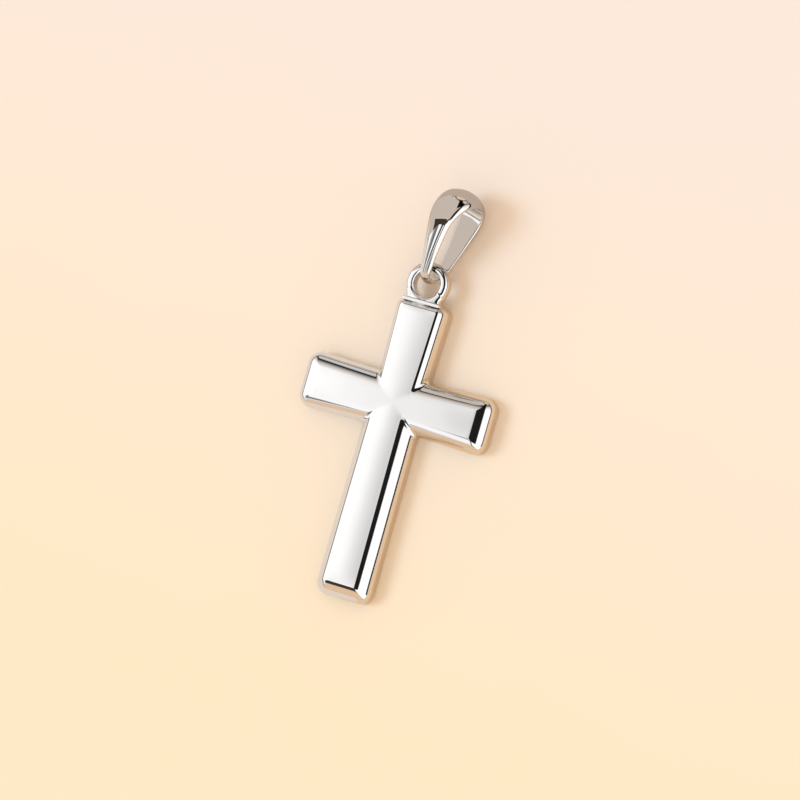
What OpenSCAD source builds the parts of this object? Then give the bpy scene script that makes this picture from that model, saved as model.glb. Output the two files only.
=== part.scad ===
// Cross pendant, cast in polished white metal, with a loose teardrop bail.
// It lies on its flat back: X runs along the arms, +Y up the stem towards the bail and +Z out of the front.
// The origin is under the middle of the whole pendant, in the plane that it lies on. Sizes are millimetres.

/* [Cross] */
// Width across the two arms
cross_w = 13.06; // [10:0.02:18]
// From the middle of the crossing to the top of the stem
rise_l = 6.6; // [5:0.1:9]
// From the middle of the crossing to the foot of the stem
drop_l = 13.1; // [9:0.1:18]
// Width of the arms beside the crossing
arm_w = 3.48; // [3:0.02:4.6]
// How much wider the arms are at their ends
arm_flare = 0.28; // [0:0.02:0.4]
// Width of the upper stem beside the crossing
rise_w = 3.34; // [2.8:0.02:4.2]
// How much wider the upper stem is at its top
rise_flare = 0.3; // [0:0.02:0.4]
// Width of the lower stem beside the crossing
drop_w = 3.64; // [2.8:0.02:4.4]
// How much wider the lower stem is at its foot
drop_flare = 0.14; // [0:0.02:0.4]
// Thickness from the flat back to the highest line of the front
cross_t = 1.86; // [1.7:0.02:3]
// How much thinner the arms are at their ends
arm_droop = 0.12; // [0:0.02:0.2]

/* [Edges of the cross] */
// Rise of the gently crowned front above its own edges
crown_h = 0.065; // [0.02:0.005:0.15]
// Width of the rolled edge along the lower stem and the arms
roll_w = 1; // [0.6:0.02:1.2]
// Width of the rolled edge along the upper stem
rise_roll_w = 0.7; // [0.5:0.02:1]
// Width of the rolled edge at the arm ends
end_roll_w = 1.24; // [0.8:0.02:1.5]
// Width of the rolled edge at the foot
foot_roll_w = 1; // [0.8:0.02:1.5]
// Width of the tighter roll along the top of the stem
top_roll_w = 0.46; // [0.3:0.02:0.8]
// Depth of the rolled edge, down to the side wall
roll_h = 0.9; // [0.6:0.02:1.1]
// Fullness of the roll along the lower stem and the arms: 2 is round, less is flatter, like a soft bevel
roll_full = 1.5; // [1.3:0.05:2.2]
// Fullness of the roll along the upper stem
rise_full = 1.7; // [1.3:0.05:2.2]
// Fullness of the roll at the arm ends and the top of the stem
end_full = 2; // [1.3:0.05:2.2]
// Fullness of the roll at the foot
foot_full = 1.2; // [1.15:0.05:2.2]
// Radius of the arm ends' and the foot's corners, seen from the front
corner_r = 0.86; // [0.7:0.02:1.2]
// Radius of the corners at the top of the stem
top_corner_r = 0.5; // [0.3:0.02:0.8]
// Radius of the four inner corners
crotch_r = 0.22; // [0.1:0.02:0.5]
// Rounding of the back edges
back_r = 0.12; // [0.05:0.01:0.3]

/* [Fixed loop] */
// Radius of the loop's round hole
hole_r = 0.86; // [0.8:0.02:1.2]
// Width of the loop's wire, seen from the front
wire_w = 0.58; // [0.4:0.02:0.8]
// Depth of the loop's wire, from front to back
wire_d = 1; // [0.8:0.02:1.2]
// Radius of the wire's rolled outer edges, for each millimetre of its width
wire_out = 0.6; // [0.45:0.05:0.64]
// Radius of the wire's tighter inner edges, for each millimetre of its width
wire_in = 0.36; // [0.34:0.01:0.36]
// Metal between the hole and the top of the stem
neck_l = 0.38; // [0.3:0.02:0.9]
// Radius of the hollow that flares each side of the foot
flare_r = 0.5; // [0.35:0.01:0.8]
// How far below the loop's middle the foot is narrowest
neck_drop = 0.95; // [0.8:0.01:1.2]
// Height of the thin ledge that the foot stands on
ledge_h = 0.14; // [0.08:0.01:0.3]
// How far the ledge stands out round the foot
ledge_out = 0.06; // [0.03:0.01:0.12]

/* [Bail] */
// Length of the bail, from its lower bend to its round top
bail_l = 6.6; // [6:0.1:9]
// Outer radius of the round top, seen from the side
bail_top_r = 2; // [1.6:0.05:2.2]
// Radius of the gentle swell of the two leaves, seen from the side
leaf_r = 24; // [10:1:40]
// Width of the band over the round top
bail_top_w = 2.4; // [1.6:0.05:2.8]
// Width of the band at the lower bend
bail_foot_w = 0.65; // [0.6:0.05:0.75]
// How late the band widens towards its top
widening = 1.2; // [1:0.1:2.5]
// Thickness of the band's edges over the round top
bail_top_t = 0.44; // [0.3:0.02:0.6]
// Thickness of the band's edges at the lower bend
bail_foot_t = 0.32; // [0.26:0.02:0.5]
// Crown of the band's outer face, for each millimetre of its width
band_crown = 0.1; // [0.05:0.01:0.2]
// Bevel along the band's outer edges, for each millimetre of its thickness
band_bevel = 0.6; // [0.2:0.05:0.7]
// Chamfer along the band's inner edges, for each millimetre of its thickness
band_edge = 0.25; // [0.1:0.05:0.3]
// Gap all round the loop's wire where the bail goes through the loop
bail_play = 0.24; // [0.22:0.01:0.26]
// How far the bail has slid out of the loop, from wire and bend sharing one middle
bail_slack = 0.06; // [0:0.02:0.1]
// How far the bail is turned about its own length
bail_twist = 17; // [0:1:18]
// How far the bail leans towards the right arm
bail_swing = 12; // [-15:1:15]

/* [Hidden] */

// Steps round the curves; a corner has an even number
corner_steps = 6;
edge_steps = 3;
roll_steps = 8;
back_steps = 3;
face_steps = 3;
top_steps = 16;
leaf_steps = 6;
foot_steps = 12;
crown_steps = 6;
wire_steps = 7;

// How steep the side roll is where the crown of the front takes over
face_tilt = 10;
// How far before the arm ends, the foot and the top of the stem the crown starts to fade
end_fade = 2.2;
foot_fade = 1.2;
top_fade = 0.5;
// Least radius of a corner that is drawn in
least_r = 0.05;
// How far the front's grid runs towards its middle lines, which it leaves as one flat strip
face_share = 0.86;
// How far the foot of the loop is sunk into the stem, and set back from the faces of its wire
foot_sunk = 0.08;
foot_back = 0.05;
// How deep the two hollows of the foot bite into the loop's outside
flare_bite = 0.03;
// Height of the bail's lower bend above the plane that the cross lies on
bend_rise = 0.02;
// How far the bail slides round the loop's wire for each degree that it leans
slide_share = 0.55;

// Half widths of the stem and the arms at the crossing and at their ends
rise_half = rise_w / 2;
top_half = (rise_w + rise_flare) / 2;
drop_half = drop_w / 2;
foot_half = (drop_w + drop_flare) / 2;
arm_half = arm_w / 2;
end_half = (arm_w + arm_flare) / 2;
reach = cross_w / 2;

// Share of the roll's depth at which the crowned front takes over, the height that the roll starts from, and
// what it takes off the outline by then
roll_end = roll_rise(face_tilt);
roll_base = cross_t - crown_h - roll_h * roll_end;
edge_in = roll_in(roll_end);

// Places of the loop, and of the bail that goes through it
loop_out = hole_r + wire_w;
loop_y = rise_l + neck_l + hole_r;
wire_mid = hole_r + wire_w / 2;
foot_y = rise_l - loop_y;
hollow_x = sqrt(pow(loop_out + flare_r - flare_bite, 2) - neck_drop * neck_drop);
foot_x = hollow_x - sqrt(flare_r * flare_r - pow(foot_y + neck_drop, 2));
bend_in = wire_d / 2 / cos(bail_twist) + bail_foot_w / 2 * tan(bail_twist) + bail_play;
bend_r = bend_in + bail_foot_t + band_crown * bail_foot_w;
loop_z = edge_reach(bend_r, bail_foot_w) + bend_rise;
hang_r = wire_mid + bail_slack;
bail_slide = bail_swing * slide_share;
pivot = [hang_r * sin(bail_slide), loop_y + hang_r * cos(bail_slide), loop_z];
spine = bail_l - bend_r - bail_top_r;
bail_tilt = asin((edge_reach(bail_top_r, bail_top_w) - loop_z) / spine);

// Middle of the swelling leaves' arcs, and the turns of the outline where they start and stop
leaf_w = (spine * spine + pow(leaf_r - bend_r, 2) - pow(leaf_r - bail_top_r, 2)) / (2 * spine);
leaf_f = sqrt(pow(leaf_r - bend_r, 2) - leaf_w * leaf_w);
turn_top = atan2(leaf_f, spine - leaf_w);
turn_bend = atan2(leaf_f, -leaf_w);

// Points of the bail, set down on the plane, and the middle of the whole pendant's length
bail_rings = [for (turn = bail_turns()) [for (p = band_section(turn)) bail_place(p)]];
bail_lift = -min([for (ring = bail_rings) for (p = ring) p[2]]);
mid_y = (max([for (ring = bail_rings) for (p = ring) p[1]]) - drop_l) / 2;

// How far a turned band of a bend's radius reaches below the bend's middle
function edge_reach(r, w) =
    let (s = min(1, tan(bail_twist) / (4 * band_crown)))
    (r - band_crown * w * s * s) * cos(bail_twist) + w / 2 * s * sin(bail_twist);

// Points of one rounded corner, between the edges from a and to b
function corner(a, v, b, r, steps) =
    let (
        u = (a - v) / norm(a - v),
        w = (b - v) / norm(b - v),
        half = acos(u * w) / 2,
        mid = v + (u + w) / norm(u + w) * r / sin(half),
        p0 = v + u * r / tan(half) - mid,
        p1 = v + w * r / tan(half) - mid,
        a0 = atan2(p0[1], p0[0]),
        turn = atan2(p1[1], p1[0]) - a0,
        sweep = turn > 180 ? turn - 360 : turn < -180 ? turn + 360 : turn
    )
    [for (i = [0 : steps]) mid + r * [cos(a0 + sweep * i / steps), sin(a0 + sweep * i / steps)]];

// Share of its depth that the side roll has reached where it is as steep as a tilt
function roll_rise(tilt) =
    let (q = pow(roll_h * cos(tilt) / (roll_w * sin(tilt)), roll_full / (roll_full - 1)))
    pow(q / (1 + q), 1 / roll_full);

// What the roll takes off the outline at a share of its depth: along the lower stem and the arms, at the arm
// ends, at the foot, at the top and along the upper stem
function roll_in(rise) =
    let (
        widths = [roll_w, end_roll_w, foot_roll_w, top_roll_w, rise_roll_w],
        full = [roll_full, end_full, foot_full, end_full, rise_full]
    )
    [for (i = [0 : 4]) widths[i] * (1 - pow(1 - pow(rise, full[i]), 1 / full[i]))];

// Right half of the cross seen from the front, drawn in as the rolls are
function half_plan(in) =
    let (side = in[0], end = in[1], foot = in[2], top = in[3], rise = in[4])
    [
        [top_half - rise, rise_l - top, max(top_corner_r - top, least_r)],
        [rise_half - rise, arm_half - side, crotch_r],
        [reach - end, end_half - side, max(corner_r - side, least_r)],
        [reach - end, -end_half + side, max(corner_r - side, least_r)],
        [drop_half - side, -arm_half + side, crotch_r],
        [foot_half - side, -drop_l + foot, max(corner_r - side, least_r)]
    ];

// The whole outline, clockwise from the top right corner, with its edges divided
function plan(in) =
    let (
        right = half_plan(in),
        left = [for (i = [len(right) - 1 : -1 : 0]) [-right[i][0], right[i][1], right[i][2]]],
        v = concat(right, left),
        n = len(v),
        arcs = [for (i = [0 : n - 1])
            let (a = v[(i + n - 1) % n], c = v[i], b = v[(i + 1) % n])
            corner([a[0], a[1]], [c[0], c[1]], [b[0], b[1]], c[2], corner_steps)]
    )
    [for (i = [0 : n - 1]) let (end = arcs[i][corner_steps], next = arcs[(i + 1) % n][0])
        each concat(arcs[i], [for (k = [1 : edge_steps - 1]) end + (next - end) * k / edge_steps])];

// Half width of the front face on the stem at a height, and on the arms at a distance from the stem
function stem_face(y) =
    y > 0 ? rise_half + (top_half - rise_half) * y / rise_l - edge_in[4]
          : drop_half - (foot_half - drop_half) * y / drop_l - edge_in[0];
function arm_face(x) = arm_half + (end_half - arm_half) * abs(x) / reach - edge_in[0];

// Fade of the crown over the last stretch before an end
function fade(d, run) = d > run ? 1 : 1 - pow(1 - max(d, 0) / run, 2);

// A smooth stand-in for the smaller of two numbers up to 1: it is the one where the other is 1
function soft_least(a, b) = a * b > 0 ? a * b / sqrt(a * a + b * b - a * a * b * b) : 0;

// Height of the crowned front over a point of the face
function face_z(p) =
    let (
        a = min(pow(p[0] / stem_face(p[1]), 2), 1),
        b = min(pow(p[1] / arm_face(p[0]), 2), 1),
        ends = fade(rise_l - edge_in[3] - p[1], top_fade)
            * fade(drop_l - edge_in[2] + p[1], foot_fade)
            * fade(reach - edge_in[1] - abs(p[0]), end_fade)
    )
    cross_t - crown_h + crown_h * (1 - soft_least(a, b)) * ends;

// Point of the stem's or the arms' middle line that a point of the face's edge runs in to
function middle(p) =
    let (
        hx = stem_face(p[1]),
        hy = arm_face(p[0]),
        out_x = max(abs(p[0]) - hx, 0),
        out_y = max(abs(p[1]) - hy, 0),
        end_y = (p[1] > 0 ? rise_l - edge_in[3] : drop_l - edge_in[2]) - hy,
        end_x = reach - edge_in[1] - hx
    )
    out_x > out_y ? [sign(p[0]) * out_x * (end_x - hy) / end_x, 0]
                  : [0, sign(p[1]) * out_y * (end_y - hx) / end_y];

// How much of its height a point keeps, for the arms that get thinner towards their ends
function thinned(x) = 1 - arm_droop / cross_t * pow(x / reach, 2);

// Rings of the cross from its back to its front
function cross_rings() =
    let (edge = plan(edge_in))
    concat(
        [for (i = [0 : back_steps]) let (a = 90 * i / back_steps, in = back_r * (1 - sin(a)))
            [for (p = plan([in, in, in, in, in])) [p[0], p[1], back_r * (1 - cos(a))]]],
        [for (i = [0 : roll_steps]) let (rise = roll_rise(90 + (face_tilt - 90) * i / roll_steps))
            [for (p = plan(roll_in(rise))) [p[0], p[1], (roll_base + roll_h * rise) * thinned(p[0])]]],
        [for (i = [1 : face_steps]) let (s = face_share * (1 - pow(1 - i / face_steps, 1.5)))
            [for (p = edge) let (q = p + (middle(p) - p) * s)
                [q[0], q[1], (i < face_steps ? face_z(q) : cross_t) * thinned(q[0])]]]
    );

// Triangles across a cross-shaped ring whose points start at a given number: rungs from side to side of
// each of the four bars, a fan at each bar's end and one quad in the crossing
function cross_cap(first) =
    let (
        block = corner_steps + edge_steps,
        n = 12 * block,
        inner = [for (bar = [0 : 3]) (1 + 3 * bar) * block + corner_steps / 2],
        rungs = block + corner_steps / 2 - 1,
        fan = 3 * block - 2 * rungs - 1,
        tris = [for (s = inner) each concat(
            [for (t = [0 : rungs - 1]) each [
                [s + t, s + t + 1, s + 3 * block - t - 1],
                [s + t, s + 3 * block - t - 1, s + 3 * block - t]
            ]],
            [for (k = [1 : fan]) [s + rungs, s + rungs + k, s + rungs + k + 1]]
        )]
    )
    [for (t = concat(tris, [[inner[0], inner[1], inner[2]], [inner[0], inner[2], inner[3]]]))
        [for (i = t) first + i % n]];

// Triangles between rings of n points each; wrap joins the last ring to the first
function ring_sides(n, rings, wrap) =
    [for (j = [0 : rings - (wrap ? 1 : 2)]) for (i = [0 : n - 1])
        let (
            up = (j + 1) % rings,
            k = (i + 1) % n,
            a = j * n + i,
            b = j * n + k,
            c = up * n + k,
            d = up * n + i
        )
        each [[a, b, c], [a, c, d]]];

// The turns at which the bail's side outline is cut into sections, once round
function bail_turns() = concat(
    [for (i = [0 : top_steps - 1]) -turn_top + 2 * turn_top * i / top_steps],
    [for (i = [0 : leaf_steps - 1]) turn_top + (turn_bend - turn_top) * i / leaf_steps],
    [for (i = [0 : foot_steps - 1]) turn_bend + (360 - 2 * turn_bend) * i / foot_steps],
    [for (i = [0 : leaf_steps - 1]) 360 - turn_bend + (turn_bend - turn_top) * i / leaf_steps]
);

// Middle and radius of the arc that carries the bail's outline at a turn, along and across its length
function bail_arc(turn) =
    turn < turn_top || turn > 360 - turn_top ? [spine, 0, bail_top_r]
    : turn < turn_bend ? [leaf_w, -leaf_f, leaf_r]
    : turn <= 360 - turn_bend ? [0, 0, bend_r]
    : [leaf_w, leaf_f, leaf_r];

// Section of the band at a turn: crowned outside with bevelled edges, flat inside with chamfered ones
function band_section(turn) =
    let (
        arc = bail_arc(turn),
        out = [cos(turn), sin(turn)],
        base = [arc[0], arc[1]] + arc[2] * out,
        share = min(max((base[0] + bend_r) / bail_l, 0), 1),
        w = bail_foot_w + (bail_top_w - bail_foot_w) * pow(share, widening),
        t = bail_foot_t + (bail_top_t - bail_foot_t) * share,
        bevel = band_bevel * t,
        edge = band_edge * t,
        half = w / 2 - bevel,
        crown = band_crown * w,
        across = concat(
            [for (i = [0 : crown_steps]) let (s = 2 * i / crown_steps - 1) [-crown * s * s, half * s]],
            [
                [-crown - bevel, w / 2],
                [-crown - t + edge, w / 2],
                [-crown - t, w / 2 - edge],
                [-crown - t, edge - w / 2],
                [-crown - t + edge, -w / 2],
                [-crown - bevel, -w / 2]
            ]
        )
    )
    [for (c = across) let (q = base + out * c[0]) [c[1], q[0], q[1]]];

// A point turned about an axis
function turn_x(p, a) = [p[0], p[1] * cos(a) - p[2] * sin(a), p[1] * sin(a) + p[2] * cos(a)];
function turn_y(p, a) = [p[0] * cos(a) + p[2] * sin(a), p[1], p[2] * cos(a) - p[0] * sin(a)];
function turn_z(p, a) = [p[0] * cos(a) - p[1] * sin(a), p[0] * sin(a) + p[1] * cos(a), p[2]];

// A point of the bail, from its own length to its place in the loop
function bail_place(p) = pivot + turn_z(turn_x(turn_y(p, -bail_twist), bail_tilt), -bail_swing);

// Section of the loop's wire, out from the middle of the hole: rolled outer edges and tighter inner ones
function wire_section() =
    let (
        out_r = min(wire_out * wire_w, wire_d / 2),
        in_r = min(wire_in * wire_w, wire_d / 2),
        front = concat(
            [for (i = [0 : wire_steps]) let (a = 90 * i / wire_steps)
                [loop_out - out_r * (1 - cos(a)), wire_d / 2 - out_r * (1 - sin(a))]],
            [for (i = [0 : wire_steps]) let (a = 90 * i / wire_steps)
                [hole_r + in_r * (1 - sin(a)), wire_d / 2 - in_r * (1 - cos(a))]]
        )
    )
    concat(front, [for (i = [len(front) - 1 : -1 : 0]) [front[i][0], -front[i][1]]]);

// Outline of the foot, from the loop down into the stem, with a hollow at each side
module foot_outline() {
    tip = loop_out * [hollow_x, -neck_drop] / norm([hollow_x, neck_drop]);
    difference() {
        polygon([
            [tip[0], tip[1]], [foot_x, foot_y], [foot_x, foot_y - foot_sunk],
            [-foot_x, foot_y - foot_sunk], [-foot_x, foot_y], [-tip[0], tip[1]]
        ]);
        for (side = [-1, 1])
            translate([side * hollow_x, -neck_drop]) circle(r = flare_r, $fn = 64);
        circle(r = wire_mid, $fn = 96);
    }
}

// The loop, its flared foot and the ledge under it
module loop() {
    translate([0, loop_y, loop_z]) {
        rotate_extrude($fn = 96) polygon(wire_section());
        linear_extrude(height = wire_d - 2 * foot_back, center = true) foot_outline();
    }
    translate([-foot_x - ledge_out, rise_l - foot_sunk, loop_z - wire_d / 2 - ledge_out])
        cube([2 * (foot_x + ledge_out), foot_sunk + ledge_h, wire_d + 2 * ledge_out]);
}

// The cast body of the cross, from its flat back to its crowned front
module body() {
    rings = cross_rings();
    n = len(rings[0]);
    back = [for (t = cross_cap(0)) [t[2], t[1], t[0]]];
    polyhedron(
        [for (ring = rings) each ring],
        concat(back, ring_sides(n, len(rings), false), cross_cap((len(rings) - 1) * n)),
        convexity = 4
    );
}

module cross() {
    color("gainsboro") translate([0, -mid_y, 0]) union() {
        body();
        loop();
    }
}

module bail() {
    color("silver") translate([0, -mid_y, bail_lift]) polyhedron(
        [for (ring = bail_rings) each ring],
        ring_sides(len(bail_rings[0]), len(bail_rings), true),
        convexity = 4
    );
}

cross();
bail();
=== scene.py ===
"""Cross pendant: the looks of the polished cross and its loose bail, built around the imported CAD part."""

from functools import partialmethod
from math import acos, asin, atan2, cos, hypot, pi, radians, sin, sqrt, tan

import bmesh
import bpy
import numpy as np
from bpy.props import FloatProperty, FloatVectorProperty, PointerProperty
from mathutils import Matrix, Vector


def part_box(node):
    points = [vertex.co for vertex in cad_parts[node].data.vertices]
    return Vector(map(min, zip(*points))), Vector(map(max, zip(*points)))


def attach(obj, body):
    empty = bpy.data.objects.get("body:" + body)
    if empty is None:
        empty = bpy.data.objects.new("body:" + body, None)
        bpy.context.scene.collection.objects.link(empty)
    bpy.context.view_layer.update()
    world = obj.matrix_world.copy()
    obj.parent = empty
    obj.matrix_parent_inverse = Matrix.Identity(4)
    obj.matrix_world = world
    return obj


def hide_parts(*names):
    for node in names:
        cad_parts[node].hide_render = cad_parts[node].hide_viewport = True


bl_info = {
    "name": "Cross Pendant",
    "version": (1, 0, 0),
    "blender": (4, 5, 0),
    "location": "3D View > Sidebar > Pendant",
    "description": "Builds a polished cross pendant with a loose teardrop bail",
    "category": "Add Mesh",
}

MM = 0.001

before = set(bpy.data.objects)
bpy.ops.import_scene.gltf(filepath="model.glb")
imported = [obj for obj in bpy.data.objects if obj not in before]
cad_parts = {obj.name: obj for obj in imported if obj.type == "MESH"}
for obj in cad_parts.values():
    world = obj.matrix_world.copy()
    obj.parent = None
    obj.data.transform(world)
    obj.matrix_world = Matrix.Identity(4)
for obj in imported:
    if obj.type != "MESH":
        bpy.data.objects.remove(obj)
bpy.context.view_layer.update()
cross_low, cross_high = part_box("cross")
bail_low, bail_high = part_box("bail")


def length(name, description, mm, low, high):
    """A length that the user sets, given here in millimetres."""
    return FloatProperty(
        name=name, description=description, default=mm * MM, min=low * MM, max=high * MM,
        unit="LENGTH", precision=5,
    )


def angle(name, description, deg, low, high):
    """An angle that the user sets, given here in degrees."""
    return FloatProperty(
        name=name, description=description, default=radians(deg), min=radians(low), max=radians(high),
        unit="ROTATION",
    )


def share(name, description, default, high=1.0):
    """A plain number from nought that the user sets."""
    return FloatProperty(name=name, description=description, default=default, min=0.0, max=high)


def colour(name, description, default):
    """A colour that the user sets."""
    return FloatVectorProperty(
        name=name, description=description, default=default, min=0.0, max=1.0, size=3, subtype="COLOR",
    )


class PendantCross(bpy.types.PropertyGroup):
    """Sizes of the cast cross and its fixed loop."""

    rise_l: length("Rise", "Middle of the crossing to the top of the stem", 6.6, 5, 9)
    drop_l: length("Drop", "Middle of the crossing to the foot of the stem", 13.1, 9, 18)
    arm_w: length("Arm width", "Width of the arms beside the crossing", 3.48, 3, 4.6)
    arm_flare: length("Arm flare", "How much wider the arms are at their ends", 0.28, 0, 0.4)
    rise_w: length("Upper stem width", "Width of the upper stem beside the crossing", 3.34, 2.8, 4.2)
    rise_flare: length("Upper stem flare", "How much wider the upper stem is at its top", 0.3, 0, 0.4)
    drop_w: length("Lower stem width", "Width of the lower stem beside the crossing", 3.64, 2.8, 4.4)
    drop_flare: length("Lower stem flare", "How much wider the lower stem is at its foot", 0.14, 0, 0.4)
    cross_t: length("Thickness", "Flat back to the highest line of the front", 1.86, 1.7, 3)
    arm_droop: length("Arm droop", "How much thinner the arms are at their ends", 0.12, 0, 0.2)
    crown_h: length("Crown", "Rise of the front above its own edges", 0.065, 0.02, 0.15)
    roll_w: length("Roll width", "Width of the roll along the lower stem and the arms", 1.0, 0.6, 1.2)
    rise_roll_w: length("Upper roll width", "Width of the roll along the upper stem", 0.7, 0.5, 1)
    end_roll_w: length("End roll width", "Width of the rolled edge at the arm ends", 1.24, 0.8, 1.5)
    foot_roll_w: length("Foot roll width", "Width of the rolled edge at the foot", 1.0, 0.8, 1.5)
    top_roll_w: length("Top roll width", "Width of the tighter roll along the stem's top", 0.46, 0.3, 0.8)
    roll_h: length("Roll depth", "Depth of the rolled edge, down to the side wall", 0.9, 0.6, 1.1)
    roll_full: share("Roll fullness", "2 is a round roll, less is flatter, like a soft bevel", 1.5, 2.2)
    rise_full: share("Upper fullness", "Fullness of the roll along the upper stem", 1.7, 2.2)
    end_full: share("End fullness", "Fullness of the roll at the arm ends and the stem's top", 2.0, 2.2)
    foot_full: share("Foot fullness", "Fullness of the roll at the foot", 1.2, 2.2)
    face_tilt: angle("Face tilt", "How steep the roll is where the crowned front takes over", 10, 4, 20)
    end_fade: length("End fade", "How far before the arm ends the crown starts to fade", 2.2, 0.5, 4)
    foot_fade: length("Foot fade", "How far before the foot the crown starts to fade", 1.2, 0.5, 4)
    top_fade: length("Top fade", "How far before the stem's top the crown starts to fade", 0.5, 0.2, 4)
    corner_r: length("Corner radius", "Radius of the arm ends' and the foot's corners", 0.86, 0.7, 1.2)
    top_corner_r: length("Top corner radius", "Radius of the corners at the stem's top", 0.5, 0.3, 0.8)
    crotch_r: length("Inner corner radius", "Radius of the four inner corners", 0.22, 0.1, 0.5)
    back_r: length("Back rounding", "Rounding of the back edges", 0.12, 0.05, 0.3)
    hole_r: length("Hole radius", "Radius of the loop's round hole", 0.86, 0.8, 1.2)
    wire_w: length("Wire width", "Width of the loop's wire, seen from the front", 0.58, 0.4, 0.8)
    wire_d: length("Wire depth", "Depth of the loop's wire, from front to back", 1.0, 0.8, 1.2)
    wire_out: share("Wire outer roll", "Radius of the wire's outer edges for each unit of its width", 0.6)
    wire_in: share("Wire inner roll", "Radius of the wire's inner edges for each unit of its width", 0.36)
    neck_l: length("Neck", "Metal between the hole and the stem's top", 0.38, 0.3, 0.9)
    flare_r: length("Hollow radius", "Radius of the hollow each side of the loop's foot", 0.5, 0.35, 0.8)
    neck_drop: length("Neck drop", "How far below the loop's middle its foot is narrowest", 0.95, 0.8, 1.2)
    ledge_h: length("Ledge height", "Height of the thin ledge under the foot", 0.14, 0.08, 0.3)
    ledge_out: length("Ledge overhang", "How far the ledge stands out round the foot", 0.06, 0.03, 0.12)


class PendantBail(bpy.types.PropertyGroup):
    """Sizes and lie of the loose bail."""

    bail_l: length("Length", "Lower bend to round top", 6.6, 6, 9)
    top_r: length("Top radius", "Outer radius of the round top, seen from the side", 2.0, 1.6, 2.2)
    leaf_r: length("Leaf radius", "Radius of the gentle swell of the two leaves", 24, 10, 40)
    top_w: length("Top width", "Width of the band over the round top", 2.4, 1.6, 2.8)
    foot_w: length("Foot width", "Width of the band at the lower bend", 0.65, 0.6, 0.75)
    widening: share("Widening", "How late the band widens towards its top", 1.2, 2.5)
    top_t: length("Top thickness", "Thickness of the band's edges over the top", 0.44, 0.3, 0.6)
    foot_t: length("Foot thickness", "Thickness of the band's edges at the bend", 0.32, 0.26, 0.5)
    crown: share("Crown", "Crown of the outer face for each unit of width", 0.1, 0.2)
    bevel: share("Bevel", "Bevel of the outer edges for each unit of thickness", 0.6, 0.7)
    edge: share("Inner rounding", "Rounding of the inner edges for each unit of thickness", 0.25, 0.3)
    play: length("Play", "Gap round the wire where the bail goes through the loop", 0.24, 0.22, 0.26)
    slack: length("Slack", "How far the bail has slid out of the loop", 0.06, 0, 0.1)
    twist: angle("Twist", "Turn of the bail about its own length", 17, 0, 18)
    swing: angle("Swing", "Lean of the bail towards the right arm", 12, -15, 15)


class PendantFinish(bpy.types.PropertyGroup):
    """Finish of the metal, and the plain stage round it."""

    metal: colour("Metal", "Reflection of the polished white metal", (0.79, 0.78, 0.77))
    metal_dull: colour("Dull metal", "Reflection where the polish is a little worn", (0.73, 0.72, 0.71))
    polish: share("Roughness", "Roughness of the polished metal", 0.035)
    wear: share("Wear", "Added roughness where the polish is worn", 0.03)
    scratch: share("Scratches", "Strength of the fine polishing lines", 0.012)
    wave: share("Waviness", "Strength of the slight waves of a hand-polished face", 0.035)
    floor_far: colour("Floor, far", "Pale surface beyond the bail", (0.93, 0.80, 0.72))
    floor_near: colour("Floor, near", "Pale surface before the foot", (0.98, 0.80, 0.58))
    # The floor's tones as only the metal's reflections see them: painted reflection at the left, painted
    # shade at the right and beyond the loop
    painted_reflection_left: colour("Mirrored left", "Tone of the surface in the walls at the left", (0.95, 0.83, 0.73))
    painted_shade_right: colour("Mirrored right", "Tone of the surface in the walls at the right", (0.95, 0.68, 0.44))
    painted_shade_beyond: colour("Mirrored beyond", "Tone of the surface in the bail's sides", (0.58, 0.47, 0.4))
    # Tones of glowing boards that only the metal's reflections see: painted reflections, the second one dark
    board: colour("Board", "Tone of the mirrored board over the bail", (0.72, 0.62, 0.54))
    flag: colour("Dark board", "Tone of the mirrored board before the foot", (0.06, 0.045, 0.035))
    sheet_light: share("Sheet light", "Brightness of the white sheets that the metal reflects", 1.55, 5.0)
    fill_light: share("Fill light", "Brightness of the even light on the floor", 0.93, 5.0)
    sun_light: share("Key light", "Strength of the soft light from the left", 1.3, 10.0)


class NodeNumber:
    """A number worked out by a node tree, so that a rule can be written as a formula."""

    def __init__(self, tree, socket):
        self.tree = tree
        self.socket = socket

    def math(self, operation, *others, clamp=False):
        node = self.tree.nodes.new("ShaderNodeMath")
        node.operation = operation
        node.use_clamp = clamp
        for slot, value in zip(node.inputs, (self, *others)):
            plug(self.tree, value, slot)
        return NodeNumber(self.tree, node.outputs[0])

    __add__ = partialmethod(math, "ADD")
    __sub__ = partialmethod(math, "SUBTRACT")
    __rsub__ = partialmethod(math, "MULTIPLY_ADD", -1.0)
    __mul__ = partialmethod(math, "MULTIPLY")
    __truediv__ = partialmethod(math, "DIVIDE")
    __pow__ = partialmethod(math, "POWER")
    sin = partialmethod(math, "SINE")
    cos = partialmethod(math, "COSINE")
    sqrt = partialmethod(math, "SQRT")
    arcsin = partialmethod(math, "ARCSINE")
    atan2 = partialmethod(math, "ARCTAN2")
    clamped = partialmethod(math, "ADD", 0.0, clamp=True)


def plug(tree, value, slot):
    """Gives an input a number, a vector or a tone, or links it to the socket or number that is worked out."""
    if isinstance(value, NodeNumber):
        value = value.socket
    if isinstance(value, bpy.types.NodeSocket):
        tree.links.new(value, slot)
    elif slot.type == "RGBA":
        slot.default_value = (*value, 1.0)
    else:
        slot.default_value = value


def set_inputs(tree, node, **inputs):
    """Gives a node what its inputs take, by their names."""
    for name, value in inputs.items():
        plug(tree, value, node.inputs[name.replace("_", " ")])


def add_node(tree, kind, settings=None, **inputs):
    """A new node with its settings and its inputs."""
    node = tree.nodes.new(kind)
    for name, value in (settings or {}).items():
        setattr(node, name, value)
    set_inputs(tree, node, **inputs)
    return node


def parts(tree, place):
    """The three parts of a place or a direction, as numbers."""
    split = add_node(tree, "ShaderNodeSeparateXYZ", Vector=place)
    return [NodeNumber(tree, part) for part in split.outputs]


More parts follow.
